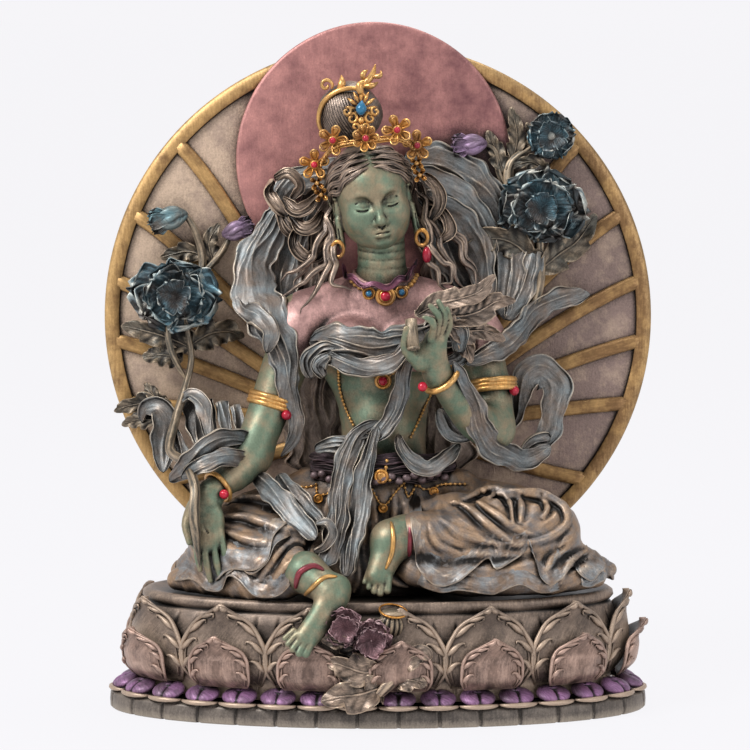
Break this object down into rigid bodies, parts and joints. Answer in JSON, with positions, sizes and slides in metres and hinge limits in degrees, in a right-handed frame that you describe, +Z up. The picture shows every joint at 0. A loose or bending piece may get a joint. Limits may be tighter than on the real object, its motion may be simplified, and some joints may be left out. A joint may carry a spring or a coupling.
{
  "type": "tara figure",
  "caption": "Seated Tara in painted cold-cast resin, on an oval lotus base before a round sun-ray aureole with a raised head halo.",
  "frame": {"origin": "centre of the underside of the lotus base's oval slab", "axes": "+Z up, the figure faces -Y, +X to the viewer's right"},
  "size_m": [0.2116, 0.1146, 0.2605],
  "materials": {
    "base_bronze": "cold-cast resin with bronze powder, dark in the recesses, edges dry-brushed pale",
    "petal_purple": "cold-cast resin, purple metallic paint over bronze",
    "brick_bronze": "cold-cast resin with bronze powder, notched slab with a rubbed upper edge",
    "aureole_panel": "cold-cast resin with bronze powder, fine pebbled field",
    "aureole_gold": "cold-cast resin, antique gold rub on the rim and rays",
    "halo_rose": "cold-cast resin, rose metallic wash over bronze",
    "figure_bronze": "cold-cast resin with bronze powder, painted in metallic washes",
    "skin_green": "verdigris green metallic wash, bronze rubbed through on the high points",
    "skirt_bronze": "bronze-brown carved cloth with pale rubbed folds",
    "scarf_silver": "silver-blue metallic wash over dark bronze",
    "breast_cloth": "dusty rose metallic wash",
    "hair_bronze": "dark bronze with rubbed strands",
    "gold_paint": "gold metallic paint on the jewellery",
    "red_enamel": "glossy red drops of enamel",
    "blue_enamel": "glossy blue drop of enamel",
    "flower_blue": "blue metallic wash with pale rubbed petal edges",
    "bud_violet": "violet and teal metallic wash on the buds",
    "leaf_bronze": "bronze leaves and stems with pale rubbed veins",
    "lotus_pink": "pink metallic wash on the lotus under the foot",
    "frill_magenta": "magenta metallic wash on the collar frill"
  },
  "bodies": {
    "root": {"lotus_base": "base_bronze", "aureole": "aureole_panel", "figure": "figure_bronze"}
  },
  "joints": []
}
